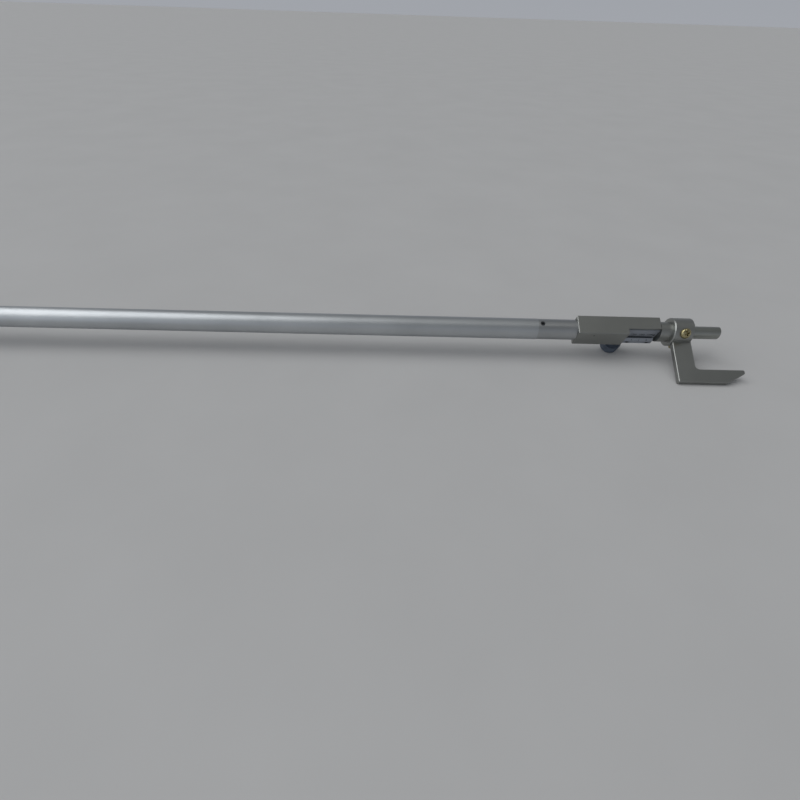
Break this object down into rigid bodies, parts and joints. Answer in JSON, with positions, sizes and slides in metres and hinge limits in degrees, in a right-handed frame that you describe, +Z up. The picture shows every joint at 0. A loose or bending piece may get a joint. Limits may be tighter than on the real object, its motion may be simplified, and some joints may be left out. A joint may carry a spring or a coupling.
{
  "type": "wheelset back-to-back gauge",
  "caption": "Long tube gauge with an L-shaped hook and round probe at each end; one hook slides, is read on a vernier in a window and is locked by a knob.",
  "frame": {"origin": "centre of the bounding box's bottom, on the ground below the middle of the bar", "axes": "+X along the bar towards the sliding end, +Z up, -Y the side that the hooks point to; the gauge lies rolled about its bar, on the outer edges of both hooks and the rim of the lock knob"},
  "size_m": [1.3882, 0.0906, 0.0524],
  "materials": {
    "tube_aluminium": "satin drawn tube",
    "turned_aluminium": "fine turned, matt",
    "satin_steel": "satin plated steel",
    "probe_steel": "ground and hardened steel",
    "scale_steel": "matt blue-grey scale steel",
    "yellow_zinc": "yellow zinc on steel",
    "black_steel": "black oxide steel",
    "knob_black": "knurled, black oxide steel",
    "brass": "turned brass"
  },
  "bodies": {
    "bar": {"main_tube": "tube_aluminium", "slide_end_adaptor": "turned_aluminium", "slide_end_grub_screw": "black_steel", "fixed_end_adaptor": "turned_aluminium", "fixed_end_grub_screw": "black_steel", "fixed_rod": "satin_steel", "fixed_hook": "satin_steel", "fixed_hook_screws": "yellow_zinc", "fixed_probe": "probe_steel", "slide_housing": "satin_steel", "housing_plug": "satin_steel", "housing_cross_pin": "black_steel", "vernier_plate": "scale_steel", "vernier_screws": "black_steel", "clamp_bush": "satin_steel", "clamp_pad": "brass"},
    "slider": {"slide_rod": "satin_steel", "scale_plate": "scale_steel", "scale_plate_screws": "black_steel", "sliding_hook": "satin_steel", "sliding_hook_screws": "yellow_zinc", "sliding_probe": "probe_steel"},
    "stud": {"lock_stud": "black_steel"},
    "knob": {"lock_knob": "knob_black"}
  },
  "joints": [
    {"name": "rod_slide", "type": "slide", "parent": "bar", "child": "slider", "axis": [1, 0, 0], "range_m": [0, 0.025]},
    {"name": "stud_travel", "type": "slide", "parent": "bar", "child": "stud", "axis": [0, 0.4579, -0.889], "range_m": [0, 0.001]},
    {"name": "lock_knob_turn", "type": "hinge", "parent": "stud", "child": "knob", "pos_m": [0.5482, 0.03503, 0.00513], "axis": [0, 0.4579, -0.889], "range_deg": [0, 360]}
  ],
  "couplings": [
    {"joint": "lock_knob_turn", "follows": "stud_travel", "rad_per_m": 6283.2}
  ]
}
